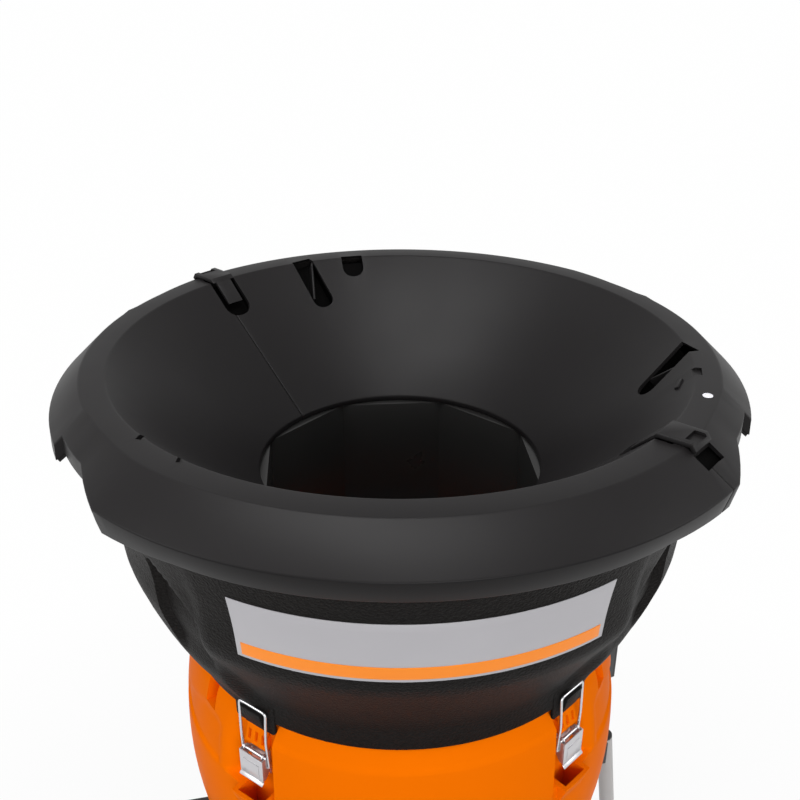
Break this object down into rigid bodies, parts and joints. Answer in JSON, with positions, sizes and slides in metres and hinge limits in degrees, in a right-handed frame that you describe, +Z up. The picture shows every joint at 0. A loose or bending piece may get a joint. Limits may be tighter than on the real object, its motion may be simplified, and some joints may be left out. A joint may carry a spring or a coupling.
{
  "type": "leaf shredder",
  "caption": "Electric leaf shredder: wide black funnel hopper latched on an orange drum with a line cutting head, on splayed tube legs.",
  "frame": {"origin": "on the floor, on the drum's axis, midway between the feet", "axes": "+Z up along the drum's axis, front badge towards -Y, +X to the right of someone facing the badge"},
  "size_m": [0.654, 0.682, 0.964],
  "materials": {
    "hopper_smooth": "smooth satin black moulding",
    "bowl_grain": "grained black moulding",
    "chute_black": "dark satin moulding",
    "drum_orange": "satin orange moulding",
    "badge_silver": "plain silver badge plate",
    "badge_orange": "plain orange stripe",
    "latch_steel": "stamped bright steel",
    "wire_steel": "bright steel wire",
    "fastener_steel": "zinc plated steel",
    "leg_grey": "light grey painted tube",
    "black_plastic": "black moulding",
    "rubber": "moulded rubber",
    "electrical_steel": "laminated steel",
    "copper": "varnished copper wire",
    "bearing_steel": "ground steel",
    "brass": "brass",
    "carbon": "pressed carbon",
    "line_nylon": "nylon flail line",
    "start_green": "green button",
    "stop_red": "red button"
  },
  "bodies": {
    "frame": {"hopper_front_half": "hopper_smooth", "hopper_rear_half": "hopper_smooth", "rim_clip_right": "hopper_smooth", "rim_clip_left": "hopper_smooth", "hopper_bowl": "bowl_grain", "throat_chute": "chute_black", "bowl_gasket": "rubber", "badge_plate": "badge_silver", "badge_stripe": "badge_orange", "chute_screws": "fastener_steel", "drum_housing": "drum_orange", "bag_neck": "black_plastic", "motor_spider": "black_plastic", "spider_screws": "fastener_steel", "motor_pod": "black_plastic", "stator_core": "electrical_steel", "field_windings": "copper", "upper_bearing": "bearing_steel", "lower_bearing": "bearing_steel", "brush_holders": "brass", "carbon_brushes": "carbon", "dust_seal": "rubber", "latch_brackets": "latch_steel", "latch_pins": "latch_steel", "leg_clamps": "black_plastic", "clamp_bolts": "fastener_steel", "leg_plugs": "black_plastic", "feet": "rubber", "switch_box": "black_plastic", "switch_cover": "black_plastic", "switch_block": "black_plastic", "power_inlet": "black_plastic", "inlet_pins": "brass", "cable_conduit": "black_plastic", "motor_lead": "rubber", "cover_screws": "fastener_steel", "leg_1": "leg_grey", "leg_2": "leg_grey", "leg_3": "leg_grey", "leg_4": "leg_grey"},
    "rotor": {"rotor_core": "electrical_steel", "commutator": "copper", "drive_shaft": "bearing_steel", "cooling_fan": "black_plastic", "line_head": "black_plastic", "head_nut": "fastener_steel", "cutting_lines": "line_nylon"},
    "start_button": {"start_button": "start_green"},
    "stop_button": {"stop_button": "stop_red"},
    "reset_button": {"reset_button": "black_plastic"},
    "latch_lever_1": {"latch_lever_1": "latch_steel"},
    "latch_bail_1": {"latch_bail_1": "wire_steel"},
    "latch_lever_2": {"latch_lever_2": "latch_steel"},
    "latch_bail_2": {"latch_bail_2": "wire_steel"},
    "latch_lever_3": {"latch_lever_3": "latch_steel"},
    "latch_bail_3": {"latch_bail_3": "wire_steel"},
    "latch_lever_4": {"latch_lever_4": "latch_steel"},
    "latch_bail_4": {"latch_bail_4": "wire_steel"}
  },
  "joints": [
    {"name": "rotor_spin", "type": "hinge", "parent": "frame", "child": "rotor", "pos_m": [0, 0, 0.5], "axis": [0, 0, 1], "continuous": true},
    {"name": "latch_lever_1_swing", "type": "hinge", "parent": "frame", "child": "latch_lever_1", "pos_m": [0.15122, -0.17396, 0.62], "axis": [-0.7547, -0.6561, 0], "range_deg": [0, 130]},
    {"name": "latch_bail_1_swing", "type": "hinge", "parent": "latch_lever_1", "child": "latch_bail_1", "pos_m": [0.15024, -0.17283, 0.608], "axis": [-0.7547, -0.6561, 0], "range_deg": [-165, 0]},
    {"name": "latch_lever_2_swing", "type": "hinge", "parent": "frame", "child": "latch_lever_2", "pos_m": [0.15122, 0.17396, 0.62], "axis": [0.7547, -0.6561, 0], "range_deg": [0, 130]},
    {"name": "latch_bail_2_swing", "type": "hinge", "parent": "latch_lever_2", "child": "latch_bail_2", "pos_m": [0.15024, 0.17283, 0.608], "axis": [0.7547, -0.6561, 0], "range_deg": [-165, 0]},
    {"name": "latch_lever_3_swing", "type": "hinge", "parent": "frame", "child": "latch_lever_3", "pos_m": [-0.15122, 0.17396, 0.62], "axis": [0.7547, 0.6561, 0], "range_deg": [0, 130]},
    {"name": "latch_bail_3_swing", "type": "hinge", "parent": "latch_lever_3", "child": "latch_bail_3", "pos_m": [-0.15024, 0.17283, 0.608], "axis": [0.7547, 0.6561, 0], "range_deg": [-165, 0]},
    {"name": "latch_lever_4_swing", "type": "hinge", "parent": "frame", "child": "latch_lever_4", "pos_m": [-0.15122, -0.17396, 0.62], "axis": [-0.7547, 0.6561, 0], "range_deg": [0, 130]},
    {"name": "latch_bail_4_swing", "type": "hinge", "parent": "latch_lever_4", "child": "latch_bail_4", "pos_m": [-0.15024, -0.17283, 0.608], "axis": [-0.7547, 0.6561, 0], "range_deg": [-165, 0]},
    {"name": "start_press", "type": "slide", "parent": "frame", "child": "start_button", "axis": [-0.9063, -0.4226, 0], "range_m": [0, 0.003], "stiffness_N_per_m": 400, "springref_m": -0.002},
    {"name": "stop_press", "type": "slide", "parent": "frame", "child": "stop_button", "axis": [-0.9063, -0.4226, 0], "range_m": [0, 0.003], "stiffness_N_per_m": 400, "springref_m": -0.002},
    {"name": "reset_press", "type": "slide", "parent": "frame", "child": "reset_button", "axis": [-0.9063, -0.4226, 0], "range_m": [0, 0.003], "stiffness_N_per_m": 400, "springref_m": -0.002}
  ],
  "couplings": [
    {"joint": "latch_bail_1_swing", "follows": "latch_lever_1_swing", "ratio": -1.25},
    {"joint": "latch_bail_2_swing", "follows": "latch_lever_2_swing", "ratio": -1.25},
    {"joint": "latch_bail_3_swing", "follows": "latch_lever_3_swing", "ratio": -1.25},
    {"joint": "latch_bail_4_swing", "follows": "latch_lever_4_swing", "ratio": -1.25}
  ]
}
